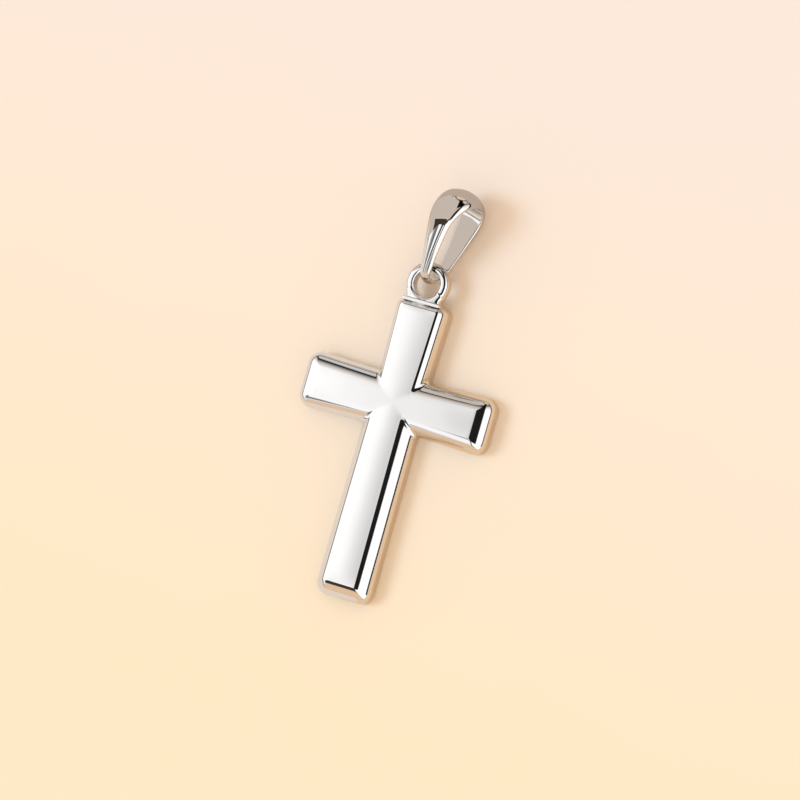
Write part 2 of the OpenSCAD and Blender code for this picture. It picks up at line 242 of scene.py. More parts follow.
def mixed(tree, factor, first, second, blend="MIX"):
    """A colour mixed from two others."""
    mix = add_node(tree, "ShaderNodeMix", {"data_type": "RGBA", "blend_type": blend})
    for slot, value in zip((mix.inputs[0], mix.inputs[6], mix.inputs[7]), (factor, first, second)):
        plug(tree, value, slot)
    return mix.outputs[2]


def noise(tree, place, scale, detail, **seed):
    """A soft noise over places, with a fourth dimension W where one is given as its seed."""
    kind = {"noise_dimensions": "4D" if seed else "3D"}
    made = add_node(tree, "ShaderNodeTexNoise", kind, Vector=place, Scale=scale, Detail=detail, **seed)
    return made.outputs["Fac"]


def new_material(name):
    """A material and the tree of its nodes."""
    material = bpy.data.materials.new(name)
    material.use_nodes = True
    return material, material.node_tree


# The metal's duller clouds, worn smears and waves: what each adds to the seed, its scale and its detail
METAL_NOISES = ((0.0, 420.0, 3.0), (3.0, 900.0, 4.0), (7.0, 330.0, 1.0))
# Where the wear starts and is full, the waves' height, and the lines' turn, scales, detail and height
WEAR_FROM, WEAR_TO = 0.4, 0.8
WAVE_HEIGHT = 0.4 * MM
LINE_TURN = (0.0, 0.0, radians(12))
LINE_SCALES = (9000.0, 700.0, 3000.0)
LINE_DETAIL, LINE_HEIGHT = 2.0, 0.02 * MM
# Seeds of the two pieces' metal
CROSS_SEED, BAIL_SEED = 1.0, 5.0


def polished_metal(name, finish, seed):
    """Polished white metal: nearly a mirror, with faint waves, fine polishing lines and duller clouds."""
    material, tree = new_material(name)
    place = add_node(tree, "ShaderNodeTexCoord").outputs["Object"]
    clouds, smears, waves = (
        noise(tree, place, scale, detail, W=seed + step) for step, scale, detail in METAL_NOISES
    )
    rough = add_node(
        tree, "ShaderNodeMapRange", Value=smears, From_Min=WEAR_FROM, From_Max=WEAR_TO,
        To_Min=finish.polish, To_Max=finish.polish + finish.wear,
    )
    wave_bump = add_node(tree, "ShaderNodeBump", Height=waves, Strength=finish.wave, Distance=WAVE_HEIGHT)
    along = add_node(tree, "ShaderNodeMapping", Vector=place, Rotation=LINE_TURN, Scale=LINE_SCALES)
    line_bump = add_node(
        tree, "ShaderNodeBump", Height=noise(tree, along.outputs[0], 1.0, LINE_DETAIL),
        Strength=finish.scratch, Distance=LINE_HEIGHT, Normal=wave_bump.outputs[0],
    )
    set_inputs(
        tree, tree.nodes["Principled BSDF"], Metallic=1.0, Roughness=rough.outputs["Result"],
        Base_Color=mixed(tree, clouds, finish.metal_dull, finish.metal), Normal=line_bump.outputs[0],
    )
    return material


def new_object(name, data):
    """An object in the scene."""
    made = bpy.data.objects.new(name, data)
    bpy.context.scene.collection.objects.link(made)
    return made


def new_body(name, points, faces, material):
    """An object with a mesh of plain faces."""
    mesh = bpy.data.meshes.new(name)
    mesh.from_pydata(points, [], faces)
    mesh.materials.append(material)
    return new_object(name, mesh)


def face_outwards(mesh):
    """Makes all the faces of a mesh of closed skins point outwards and shades them smooth."""
    work = bmesh.new()
    work.from_mesh(mesh)
    bmesh.ops.recalc_face_normals(work, faces=work.faces)
    work.to_mesh(mesh)
    work.free()
    mesh.shade_smooth()


# Steps of the cross's mesh: round a corner, along an edge, up the back edge, the roll and the front
CORNER_STEPS = 14
EDGE_STEPS = 32
BACK_STEPS = 6
ROLL_STEPS = 30
FACE_STEPS = 34
# How far the front's rings run in to its middle lines, and the power that sets them closer there
FACE_SHARE = 0.985
FACE_POWER = 1.5
# The least radius of a corner, and a number that keeps a share from being divided by nought
LEAST_R = 0.05 * MM
TINY = 1e-12


def unit(v):
    return v / np.linalg.norm(v)


def corner(before, at, after, radius):
    """Points of one rounded corner, between the edges that come from before and go to after."""
    u, w = unit(before - at), unit(after - at)
    half = acos(u @ w) / 2
    middle = at + unit(u + w) * radius / sin(half)
    start = at + u * radius / tan(half) - middle
    end = at + w * radius / tan(half) - middle
    first = atan2(start[1], start[0])
    sweep = (atan2(end[1], end[0]) - first + pi) % (2 * pi) - pi
    turns = first + sweep * np.linspace(0.0, 1.0, CORNER_STEPS + 1)
    return middle + radius * np.column_stack([np.cos(turns), np.sin(turns)])


class CrossShape:
    """The cast body of the cross, with its crossing's middle as origin of X and Y and its back at nought."""

    def __init__(self, sizes):
        s = self.s = sizes
        self.reach = (cross_high.x - cross_low.x) / 2
        self.rise_half, self.top_half = s.rise_w / 2, (s.rise_w + s.rise_flare) / 2
        self.drop_half, self.foot_half = s.drop_w / 2, (s.drop_w + s.drop_flare) / 2
        self.arm_half, self.end_half = s.arm_w / 2, (s.arm_w + s.arm_flare) / 2
        self.widths = np.array([s.roll_w, s.end_roll_w, s.foot_roll_w, s.top_roll_w, s.rise_roll_w])
        self.full = np.array([s.roll_full, s.end_full, s.foot_full, s.end_full, s.rise_full])
        end = self.roll_rise(s.face_tilt)
        self.roll_base = s.cross_t - s.crown_h - s.roll_h * end
        self.edge_in = self.roll_in(end)

    def roll_rise(self, tilt):
        """Share of its depth that the side roll has reached where it is as steep as a tilt."""
        s = self.s
        q = (s.roll_h * cos(tilt) / (s.roll_w * sin(tilt))) ** (s.roll_full / (s.roll_full - 1))
        return (q / (1 + q)) ** (1 / s.roll_full)

    def roll_in(self, rise):
        """What the roll takes off the outline at a share of its depth: along the lower stem and the arms, at
        the arm ends, at the foot, at the top and along the upper stem."""
        return self.widths * (1 - (1 - rise ** self.full) ** (1 / self.full))

    def corners(self, drawn_in):
        """The twelve corners clockwise from the top right, drawn in as the rolls are."""
        s = self.s
        side, end, foot, top, rise = drawn_in
        side_r = max(s.corner_r - side, LEAST_R)
        right = [
            (self.top_half - rise, s.rise_l - top, max(s.top_corner_r - top, LEAST_R)),
            (self.rise_half - rise, self.arm_half - side, s.crotch_r),
            (self.reach - end, self.end_half - side, side_r),
            (self.reach - end, -self.end_half + side, side_r),
            (self.drop_half - side, -self.arm_half + side, s.crotch_r),
            (self.foot_half - side, -s.drop_l + foot, side_r),
        ]
        return right + [(-x, y, r) for x, y, r in reversed(right)]

    def outline(self, drawn_in):
        """The whole outline with its corners rounded and its edges divided."""
        v = self.corners(drawn_in)
        at = np.array([c[:2] for c in v])
        arcs = [corner(at[i - 1], at[i], at[(i + 1) % len(v)], v[i][2]) for i in range(len(v))]
        steps = np.arange(1, EDGE_STEPS)[:, None] / EDGE_STEPS
        runs = []
        for arc, following in zip(arcs, arcs[1:] + arcs[:1]):
            runs += [arc, arc[-1] + (following[0] - arc[-1]) * steps]
        return np.concatenate(runs)

    def stem_face(self, y):
        """Half width of the front on the stem at a height."""
        s = self.s
        up = self.rise_half + (self.top_half - self.rise_half) * y / s.rise_l
        down = self.drop_half - (self.foot_half - self.drop_half) * y / s.drop_l
        return np.where(y > 0, up - self.edge_in[4], down - self.edge_in[0])

    def arm_face(self, x):
        """Half width of the front on the arms at a distance from the stem."""
        flare = (self.end_half - self.arm_half) * np.abs(x) / self.reach
        return self.arm_half + flare - self.edge_in[0]

    @staticmethod
    def fade(distance, run):
        """Fade of the crown over the last stretch before an end."""
        left = 1 - np.clip(distance / run, 0, 1)
        return 1 - left * left

    def face_height(self, p):
        """Height of the crowned front over points of the face."""
        s = self.s
        x, y = p[:, 0], p[:, 1]
        a = np.minimum((x / self.stem_face(y)) ** 2, 1)
        b = np.minimum((y / self.arm_face(x)) ** 2, 1)
        fall = a * b / np.sqrt(np.maximum(a * a + b * b - a * a * b * b, TINY))
        end, foot, top = self.edge_in[1:4]
        ends = self.fade(s.rise_l - top - y, s.top_fade) * self.fade(s.drop_l - foot + y, s.foot_fade)
        ends = ends * self.fade(self.reach - end - np.abs(x), s.end_fade)
        return s.cross_t - s.crown_h + s.crown_h * (1 - fall) * ends

    def middle(self, p):
        """Points of the stem's or the arms' middle line that points of the front's edge run in to."""
        s = self.s
        x, y = p[:, 0], p[:, 1]
        hx, hy = self.stem_face(y), self.arm_face(x)
        out_x, out_y = np.maximum(np.abs(x) - hx, 0), np.maximum(np.abs(y) - hy, 0)
        end, foot, top = self.edge_in[1:4]
        end_x = self.reach - end - hx
        end_y = np.where(y > 0, s.rise_l - top, s.drop_l - foot) - hy
        on_arm = out_x > out_y
        in_x = np.where(on_arm, np.sign(x) * out_x * (end_x - hy) / end_x, 0)
        in_y = np.where(on_arm, 0, np.sign(y) * out_y * (end_y - hx) / end_y)
        return np.column_stack([in_x, in_y])

    def thinned(self, p):
        """How much of its height each point keeps, for the arms that get thinner towards their ends."""
        return 1 - self.s.arm_droop / self.s.cross_t * (p[:, 0] / self.reach) ** 2

    def rings(self):
        """Rings of points from the back's edge, up the wall and the roll, and in over the front."""
        s = self.s
        rings = []
        for a in np.linspace(0.0, pi / 2, BACK_STEPS + 1):
            rings.append((self.outline([s.back_r * (1 - sin(a))] * 5), s.back_r * (1 - cos(a))))
        for tilt in np.linspace(pi / 2, s.face_tilt, ROLL_STEPS + 1):
            rise = self.roll_rise(tilt)
            p = self.outline(self.roll_in(rise))
            rings.append((p, (self.roll_base + s.roll_h * rise) * self.thinned(p)))
        edge = self.outline(self.edge_in)
        inwards = self.middle(edge) - edge
        for i in range(1, FACE_STEPS + 1):
            p = edge + inwards * FACE_SHARE * (1 - (1 - i / FACE_STEPS) ** FACE_POWER)
            rings.append((p, (self.face_height(p) if i < FACE_STEPS else s.cross_t) * self.thinned(p)))
        return [np.column_stack([p, np.broadcast_to(z, len(p))]) for p, z in rings]

    def mesh(self):
        """Points and faces of the closed body."""
        rings = self.rings()
        n = len(rings[0])
        around = np.arange(n)
        faces = []
        for j in range(len(rings) - 1):
            a, b = j * n + around, j * n + (around + 1) % n
            faces += np.column_stack([a, a + n, b + n, b]).tolist()
        return np.concatenate(rings), faces + cross_cap(0) + cross_cap((len(rings) - 1) * n)


def cross_cap(first):
    """Faces across a cross-shaped ring: rungs over each of the four bars, a fan at each bar's end and one
    quad in the crossing."""
    block = CORNER_STEPS + EDGE_STEPS
    n = 12 * block
    inner = [(1 + 3 * bar) * block + CORNER_STEPS // 2 for bar in range(4)]
    rungs = block + CORNER_STEPS // 2 - 1
    fan = 3 * block - 2 * rungs - 1
    faces = [tuple(inner)]
    for s in inner:
        faces += [(s + t, s + t + 1, s + 3 * block - t - 1, s + 3 * block - t) for t in range(rungs)]
        faces += [(s + rungs, s + rungs + k, s + rungs + k + 1) for k in range(1, fan + 1)]
    return [tuple(first + i % n for i in face) for face in faces]


# Grid spacing of the loop's mesh and the room round it, and how often its points settle and seek the skin
GRID = 0.03 * MM
GRID_ROOM = 4 * GRID
SETTLE_STEPS = 6
SEEK_STEPS = 2
# Half the stretch over which the distance's slope is measured, and the least square of it that counts
SLOPE_STEP = GRID / 8
LEAST_STEEP = 0.25
# Widths of the soldered joins and roundings, and how deep the foot and the ledge sit
FOOT_JOIN = 0.22 * MM
FOOT_ROUND = 0.3 * MM
LEDGE_JOIN = 0.05 * MM
LEDGE_ROUND = 0.05 * MM
FOOT_SUNK = 0.08 * MM
FOOT_BACK = 0.05 * MM
FLARE_BITE = 0.03 * MM


def soft_least(a, b, width):
    """The smaller of two distances, blended over a width where they are alike."""
    h = np.maximum(width - np.abs(a - b), 0) / width
    return np.minimum(a, b) - h * h * width / 4


def soft_most(a, b, width):
    """The larger of two distances, blended over a width where they are alike."""
    return -soft_least(-a, -b, width)


def rounded(a, b, radius):
    """The larger of two distances from skins at right angles, with the edge between them rounded."""
    over_a, over_b = a + radius, b + radius
    outside = np.hypot(np.maximum(over_a, 0), np.maximum(over_b, 0))
    return outside + np.minimum(np.maximum(over_a, over_b), 0) - radius


class LoopShape:
    """The loop, its foot and its ledge as a distance from their skin, with the loop's middle as origin."""

    def __init__(self, sizes):
        s = self.s = sizes
        self.wire_mid = s.hole_r + s.wire_w / 2
        self.out_r = s.hole_r + s.wire_w
        self.foot_y = -(s.neck_l + s.hole_r)
        self.hollow_x = sqrt((self.out_r + s.flare_r - FLARE_BITE) ** 2 - s.neck_drop ** 2)
        self.foot_x = self.hollow_x - sqrt(s.flare_r ** 2 - (self.foot_y + s.neck_drop) ** 2)

    def distance(self, p):
        """How far points are outside the metal; less than nought inside it."""
        s = self.s
        x, y, z = np.abs(p[..., 0]), p[..., 1], np.abs(p[..., 2])
        round_out = np.hypot(x, y)
        front = z - s.wire_d / 2
        outer_r, inner_r = (min(roll * s.wire_w, s.wire_d / 2) for roll in (s.wire_out, s.wire_in))
        outer = rounded(round_out - self.out_r, front, outer_r)
        wire = np.maximum(outer, rounded(s.hole_r - round_out, front, inner_r))

        hollow = s.flare_r - np.hypot(x - self.hollow_x, y + s.neck_drop)
        above = (x * s.neck_drop + y * self.hollow_x) / hypot(self.hollow_x, s.neck_drop)
        foot = soft_most(hollow, front + FOOT_BACK, FOOT_ROUND)
        for limit in (self.foot_y - FOOT_SUNK - y, above, self.wire_mid - round_out):
            foot = np.maximum(foot, limit)
        metal = soft_least(wire, foot, FOOT_JOIN)

        half = np.array([self.foot_x + s.ledge_out, (FOOT_SUNK + s.ledge_h) / 2, s.wire_d / 2 + s.ledge_out])
        middle_y = self.foot_y + (s.ledge_h - FOOT_SUNK) / 2
        over = np.stack([x, np.abs(y - middle_y), z], axis=-1) - half + LEDGE_ROUND
        outside = np.linalg.norm(np.maximum(over, 0), axis=-1)
        ledge = outside + np.minimum(over.max(axis=-1), 0) - LEDGE_ROUND
        return soft_least(metal, ledge, LEDGE_JOIN)

    def box(self):
        """Lowest and highest corners of a box that holds the whole shape with room to spare."""
        wide = max(self.out_r, self.foot_x + self.s.ledge_out) + GRID_ROOM
        deep = self.s.wire_d / 2 + self.s.ledge_out + GRID_ROOM
        lowest = self.foot_y - FOOT_SUNK - GRID_ROOM
        return np.array([-wide, lowest, -deep]), np.array([wide, self.out_r + GRID_ROOM, deep])

    def mesh(self):
        """Points and faces of the skin: one point in each grid cell that the skin passes through."""
        low, high = self.box()
        counts = np.ceil((high - low) / GRID).astype(int) + 1
        axes = [low[k] + GRID * np.arange(counts[k]) for k in range(3)]
        field = self.distance(np.stack(np.meshgrid(*axes, indexing="ij"), axis=-1))
        inside = field < 0
        total, hits = np.zeros((*(counts - 1), 3)), np.zeros(counts - 1)
        for axis in range(3):
            self.add_crossings(field, inside, axis, total, hits)
        crossed = hits > 0
        number = np.full(crossed.shape, -1)
        number[crossed] = np.arange(crossed.sum())
        cell = np.argwhere(crossed)
        points = low + GRID * (cell + total[crossed] / hits[crossed][:, None])
        faces = np.concatenate([self.skin_faces(inside, number, axis) for axis in range(3)])
        return self.settled(points, faces), faces.tolist()

    @staticmethod
    def add_crossings(field, inside, axis, total, hits):
        """Adds, for each cell, where the skin crosses its four edges along one axis."""
        here = np.moveaxis(field, axis, 0)
        a, b = here[:-1], here[1:]
        cut = np.moveaxis(inside, axis, 0)
        cut = cut[:-1] != cut[1:]
        along = np.where(cut, a / np.where(cut, a - b, 1), 0)
        cells, sums = np.moveaxis(hits, axis, 0), np.moveaxis(total, axis, 0)
        across = [k for k in range(3) if k != axis]
        for i in (0, 1):
            for j in (0, 1):
                part = (slice(None), slice(i, i + cells.shape[1]), slice(j, j + cells.shape[2]))
                cells += cut[part]
                sums[..., axis] += along[part]
                sums[..., across[0]] += i * cut[part]
                sums[..., across[1]] += j * cut[part]

    @staticmethod
    def skin_faces(inside, number, axis):
        """A quad for each grid edge along one axis that the skin crosses."""
        here = np.moveaxis(inside, axis, 0)
        cells = np.moveaxis(number, axis, 0)
        i, j, k = np.nonzero(here[:-1, 1:-1, 1:-1] != here[1:, 1:-1, 1:-1])
        return np.column_stack([cells[i, j + a, k + b] for a, b in ((0, 0), (1, 0), (1, 1), (0, 1))])

    def settled(self, points, faces):
        """Spreads the points evenly over the skin and sets them on it."""
        edges = np.concatenate([faces[:, [k, (k + 1) % 4]] for k in range(4)])
        for _ in range(SETTLE_STEPS):
            mean, count = np.zeros_like(points), np.zeros(len(points))
            np.add.at(mean, edges[:, 0], points[edges[:, 1]])
            np.add.at(count, edges[:, 0], 1)
            points = points + (mean / count[:, None] - points) / 2
            for _ in range(SEEK_STEPS):
                points = points - self.to_skin(points)
        return points

    def to_skin(self, points):
        """The short way from the skin to each point."""
        slope = np.stack([
            self.distance(points + step) - self.distance(points - step) for step in SLOPE_STEP * np.eye(3)
        ], axis=-1) / (2 * SLOPE_STEP)
        steepness = np.maximum((slope ** 2).sum(axis=-1), LEAST_STEEP)
        return slope * (self.distance(points) / steepness)[:, None]


def edge_reach(radius, width, bail):
    """How far a twisted band of a bend's radius reaches below the bend's middle."""
    s = min(1, tan(bail.twist) / (4 * bail.crown))
    return (radius - bail.crown * width * s * s) * cos(bail.twist) + width / 2 * s * sin(bail.twist)


class PendantLie:
    """Places that the cross, its loop and the bail take from each other."""

    # Height of the bail's lower bend above the floor, and its slide round the wire for each turn of its lean
    BEND_RISE = 0.02 * MM
    SLIDE_SHARE = 0.55

    def __init__(self, cross, bail):
        self.crossing_y = cross_low.y + cross.drop_l
        self.loop_y = cross.rise_l + cross.neck_l + cross.hole_r
        bend_in = cross.wire_d / 2 / cos(bail.twist) + bail.foot_w / 2 * tan(bail.twist) + bail.play
        self.bend_r = bend_in + bail.foot_t + bail.crown * bail.foot_w
        self.loop_z = edge_reach(self.bend_r, bail.foot_w, bail) + self.BEND_RISE
        hang_r = cross.hole_r + cross.wire_w / 2 + bail.slack
        slide = bail.swing * self.SLIDE_SHARE
        self.pivot = Vector((hang_r * sin(slide), self.loop_y + hang_r * cos(slide), self.loop_z))
        spine = bail.bail_l - self.bend_r - bail.top_r
        self.tilt = asin((edge_reach(bail.top_r, bail.top_w, bail) - self.loop_z) / spine)


# Steps of the bail's mesh: over its top, along a leaf and round its bend, and quads across a face, a bevel,
# a side and an inner edge
TOP_STEPS = 96
LEAF_STEPS = 40
BEND_STEPS = 64
FACE_QUADS = 26
BEVEL_QUADS = 12
SIDE_QUADS = 3
EDGE_QUADS = 6
# Power of the sine that shapes a bevel: 1 makes it a round edge, 2 a flat chamfer
BEVEL_POWER = 1.5
# Points closer than this are merged, to close the band's two seams
SEAM = 1e-6

# What the band's node tree takes: sizes by the names that the bail's group has for them, and its turns
BAND_SIZES = (
    "bail_l", "top_r", "leaf_r", "top_w", "foot_w", "widening", "top_t", "foot_t", "crown", "bevel", "edge",
)
BAND_TURNS = ("Twist", "Tilt", "Swing")


def stretches(number, counts):
    """Splits a number that runs from 0 to 1 into stretches, each of which runs from 0 to 1 in its turn."""
    total = sum(counts)
    done = 0
    shares = []
    for count in counts:
        shares.append(((number * total - done) / count).clamped())
        done += count
    return shares


def bevel_steps(part):
    """How far a soft bevel has gone out and down, for each unit of its width, at a part of its way."""
    turn = part * (pi / 2)
    return turn.sin() ** BEVEL_POWER, 1.0 - turn.cos() ** BEVEL_POWER


def band_tree():
    """Geometry Nodes that sweep a crowned, round-edged band along a teardrop of tangent arcs."""
    tree = bpy.data.node_groups.new("teardrop band", "GeometryNodeTree")
    tree.is_modifier = True
    sockets = tree.interface
    numbers = (*BAND_SIZES, "bend_r")
    kinds = {"Float": numbers, "Vector": (*BAND_TURNS, "Place"), "Material": ("Metal",)}
    for kind, names in kinds.items():
        for name in names:
            sockets.new_socket(name, in_out="INPUT", socket_type="NodeSocket" + kind)
    sockets.new_socket("Geometry", in_out="OUTPUT", socket_type="NodeSocketGeometry")
    given = tree.nodes.new("NodeGroupInput").outputs
    (bail_l, top_r, leaf_r, top_w, foot_w, widening, top_t, foot_t, crown_share, bevel_share, edge_share,
     bend_r) = (NodeNumber(tree, given[name]) for name in numbers)

    along_counts = (TOP_STEPS, LEAF_STEPS, BEND_STEPS, LEAF_STEPS)
    across_counts = (FACE_QUADS, BEVEL_QUADS, SIDE_QUADS, EDGE_QUADS,
                     FACE_QUADS, EDGE_QUADS, SIDE_QUADS, BEVEL_QUADS)
    grid = add_node(tree, "GeometryNodeMeshGrid", Size_X=1.0, Size_Y=1.0, Vertices_X=sum(along_counts) + 1,
                    Vertices_Y=sum(across_counts) + 1)
    place = add_node(tree, "GeometryNodeInputPosition").outputs[0]
    along, across = (number + 0.5 for number in parts(tree, place)[:2])

    # Turns of the outline where the swelling leaves start and stop
    spine = bail_l - bend_r - top_r
    leaf_bend, leaf_top = leaf_r - bend_r, leaf_r - top_r
    leaf_w = (spine * spine + leaf_bend * leaf_bend - leaf_top * leaf_top) / (spine * 2.0)
    leaf_f = (leaf_bend * leaf_bend - leaf_w * leaf_w).sqrt()
    turn_top = leaf_f.atan2(spine - leaf_w)
    turn_bend = leaf_f.atan2(leaf_w * -1.0)

    # The outline: each stretch turns on from where the last one stopped
    over_top, down, round_bend, up = stretches(along, along_counts)
    leaf_turn, bend_turn = turn_bend - turn_top, 2 * pi - turn_bend * 2.0
    turn_up = 2 * pi - turn_bend
    turns = (
        turn_top * (over_top * 2.0 - 1.0),
        turn_top + leaf_turn * down,
        turn_bend + bend_turn * round_bend,
        turn_up + leaf_turn * up,
    )
    starts = (None, turn_top, turn_bend, turn_up)
    length_at, height_at = spine, NodeNumber(tree, add_node(tree, "ShaderNodeValue").outputs[0])
    for turn, start, radius in zip(turns, starts, (top_r, leaf_r, bend_r, leaf_r)):
        length_at = length_at + radius * (turn.cos() - (start.cos() if start else 0.0))
        height_at = height_at + radius * (turn.sin() - (start.sin() if start else 0.0))
    turn = turns[0] + leaf_turn * down + bend_turn * round_bend + leaf_turn * up

    # Width, thickness and crown of the band at that place
    up_share = ((length_at + bend_r) / bail_l).clamped()
    width = foot_w + (top_w - foot_w) * up_share ** widening
    thickness = foot_t + (top_t - foot_t) * up_share
    crown = crown_share * width
    bevel = bevel_share * thickness
    edge = edge_share * thickness
    wall = thickness - bevel - edge

    # The section: over the crowned face, down a bevel, a side and an inner edge, and back again
    face, bevel_1, side_1, edge_1, inner, edge_2, side_2, bevel_2 = stretches(across, across_counts)
    bow = face * 2.0 - 1.0
    out_1, down_1 = bevel_steps(bevel_1)
    out_2, down_2 = bevel_steps(1.0 - bevel_2)
    turn_1, turn_2 = edge_1 * (pi / 2), edge_2 * (pi / 2)
    out_x = (width - bevel * 2.0) * (face - 0.5) + bevel * (out_1 - out_2 + 1.0)
    out_x = out_x - edge * (1.0 - turn_1.cos() + turn_2.sin()) - (width - edge * 2.0) * inner
    depth = crown * bow * bow + bevel * (down_1 + down_2 - 1.0) + wall * (side_1 - side_2)
    depth = depth + edge * (turn_1.sin() + turn_2.cos() - 1.0)
    point = add_node(tree, "ShaderNodeCombineXYZ", X=out_x, Y=length_at - turn.cos() * depth,
                     Z=height_at - turn.sin() * depth)

    geometry = grid.outputs["Mesh"]
    for kind, inputs in (
        ("GeometryNodeSetPosition", {"Position": point.outputs[0]}),
        ("GeometryNodeMergeByDistance", {"Distance": SEAM}),
        *(("GeometryNodeTransform", {"Rotation": given[name]}) for name in BAND_TURNS),
        ("GeometryNodeTransform", {"Translation": given["Place"]}),
        ("GeometryNodeRealizeInstances", {}),
        ("GeometryNodeSetMaterial", {"Material": given["Metal"]}),
    ):
        geometry = add_node(tree, kind, Geometry=geometry, **inputs).outputs[0]
    add_node(tree, "NodeGroupOutput", Geometry=geometry)
    return tree


def plain_mesh(maker, tree, values, name):
    """Runs a node tree with these values on an object, and returns what it makes as a plain mesh."""
    modifier = maker.modifiers.new(name, "NODES")
    modifier.node_group = tree
    ids = {item.name: item.identifier for item in tree.interface.items_tree if item.in_out == "INPUT"}
    for label, value in values.items():
        modifier[ids[label]] = value
    depsgraph = bpy.context.evaluated_depsgraph_get()
    mesh = bpy.data.meshes.new_from_object(maker.evaluated_get(depsgraph), depsgraph=depsgraph)
    maker.modifiers.remove(modifier)
    mesh.name = name
    return mesh


def declare(piece, node):
    """Makes a piece ride with the pendant's root and stand in for a CAD node, which it hides."""
    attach(piece, "root")
    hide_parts(node)


class PENDANT_OT_cross(bpy.types.Operator):
    """Builds the cast cross with its rolled edges, fixed loop, foot and ledge"""

    bl_idname = "pendant.cross"
    bl_label = "Cross and Loop"

    def execute(self, context):
        scene = context.scene
        sizes = scene.pendant_cross
        lie = PendantLie(sizes, scene.pendant_bail)
        body, body_faces = CrossShape(sizes).mesh()
        loop, loop_faces = LoopShape(sizes).mesh()
        loop = loop + (0.0, lie.loop_y, lie.loop_z)
        points = np.concatenate([body, loop]) + (0.0, lie.crossing_y, 0.0)
        faces = body_faces + [[len(body) + i for i in face] for face in loop_faces]
        metal = polished_metal("polished cross metal", scene.pendant_finish, CROSS_SEED)
        piece = new_body("cross_polished", points.tolist(), faces, metal)
        face_outwards(piece.data)
        declare(piece, "cross")
        return {"FINISHED"}


class PENDANT_OT_bail(bpy.types.Operator):
    """Builds the loose teardrop bail from a band swept along its outline"""

    bl_idname = "pendant.bail"
    bl_label = "Bail"

    def execute(self, context):
        scene = context.scene
        sizes = scene.pendant_bail
        lie = PendantLie(scene.pendant_cross, sizes)
        metal = polished_metal("polished bail metal", scene.pendant_finish, BAIL_SEED)
        maker = new_object("bail maker", bpy.data.meshes.new("bail maker"))
        values = {
            **{name: getattr(sizes, name) for name in BAND_SIZES}, "bend_r": lie.bend_r, "Metal": metal,
            "Twist": (0.0, -sizes.twist, 0.0), "Tilt": (lie.tilt, 0.0, 0.0),
            "Swing": (0.0, 0.0, -sizes.swing),
            "Place": tuple(lie.pivot + Vector((0.0, lie.crossing_y, 0.0))),
        }
        mesh = plain_mesh(maker, band_tree(), values, "bail_polished")
        bpy.data.objects.remove(maker)
        lowest = min(point.co.z for point in mesh.vertices)
        mesh.transform(Matrix.Translation((0.0, 0.0, bail_low.z - lowest)))
        face_outwards(mesh)
        piece = new_object("bail_polished", mesh)
        declare(piece, "bail")
        return {"FINISHED"}


# Directions of the studio, in degrees: from straight up towards the right arm, and towards the bail
SIDE_STOPS = (
    (-90, 0.2), (-85, 0.2), (-80, 0.96), (-40, 0.96), (-31.5, 0.9), (-22.5, 0.82), (-18, 0.75),
    (-13.5, 0.68), (-9, 0.62), (-4.5, 0.56), (0, 0.6), (2, 0.01), (38, 0.01), (42, 0.95), (79, 0.95),
    (82, 0.03), (90, 0.03),
)
LENGTH_STOPS = (
    (-90, 0.0), (-66, 0.0), (-61, 0.8), (-55, 1.0), (9, 0.98), (18, 0.9), (36, (0.72, 0.66, 0.62)),
    (45, (0.56, 0.5, 0.46)), (52, 0.3), (59, 0.02), (63, 0.02), (66, 0.5), (71, 0.5), (75, 0.1), (90, 0.1),
)
GROUND_STOPS = ((-90, 1.0), (-65, 1.0), (-61, 0.0), (75, 0.0), (79, 1.0), (90, 1.0))
GROUND_TONE = (0.62, 0.44, 0.29)
# The room low down before the foot, which the bail's front mirrors: where it is dark and light, and its tone
LOW_DARK_STOPS = (
    (-90, 0.0), (-70, 0.3), (-62, 0.6), (-50, 0.85), (-36, 0.93), (-33, 0.1), (-20.5, 0.0), (-17, 0.97),
    (5, 0.97), (9, 0.0), (90, 0.0),
)
LOW_LIGHT_STOPS = ((-90, 0.0), (6, 0.0), (10, 1.0), (90, 1.0))
LOW_LENGTH_STOPS = ((-90, 0.0), (-62, 0.0), (-56, 1.0), (-32, 1.0), (-24, 0.0), (90, 0.0))
LOW_TONE = (0.03, 0.028, 0.026)
WHITE = (1.0, 1.0, 1.0)
# What the camera sees past the floor, and the tone of the even light
CAMERA_WORLD = (0.93, 0.84, 0.77)
FILL_TONE = (1.0, 0.86, 0.7)


def degree_ramp(tree, number, stops):
    """A colour ramp over an angle, with stops from -90 to 90 degrees that each hold a grey or a colour."""
    place = (number * (1 / pi) + 0.5).clamped()
    ramp = add_node(tree, "ShaderNodeValToRGB", Fac=place)
    elements = ramp.color_ramp.elements
    while len(elements) < len(stops):
        elements.new(1.0)
    for element, (at, tone) in zip(elements, stops):
        element.position = (at + 90) / 180
        element.color = (*tone, 1.0) if isinstance(tone, tuple) else (tone, tone, tone, 1.0)
    return ramp.outputs["Color"]


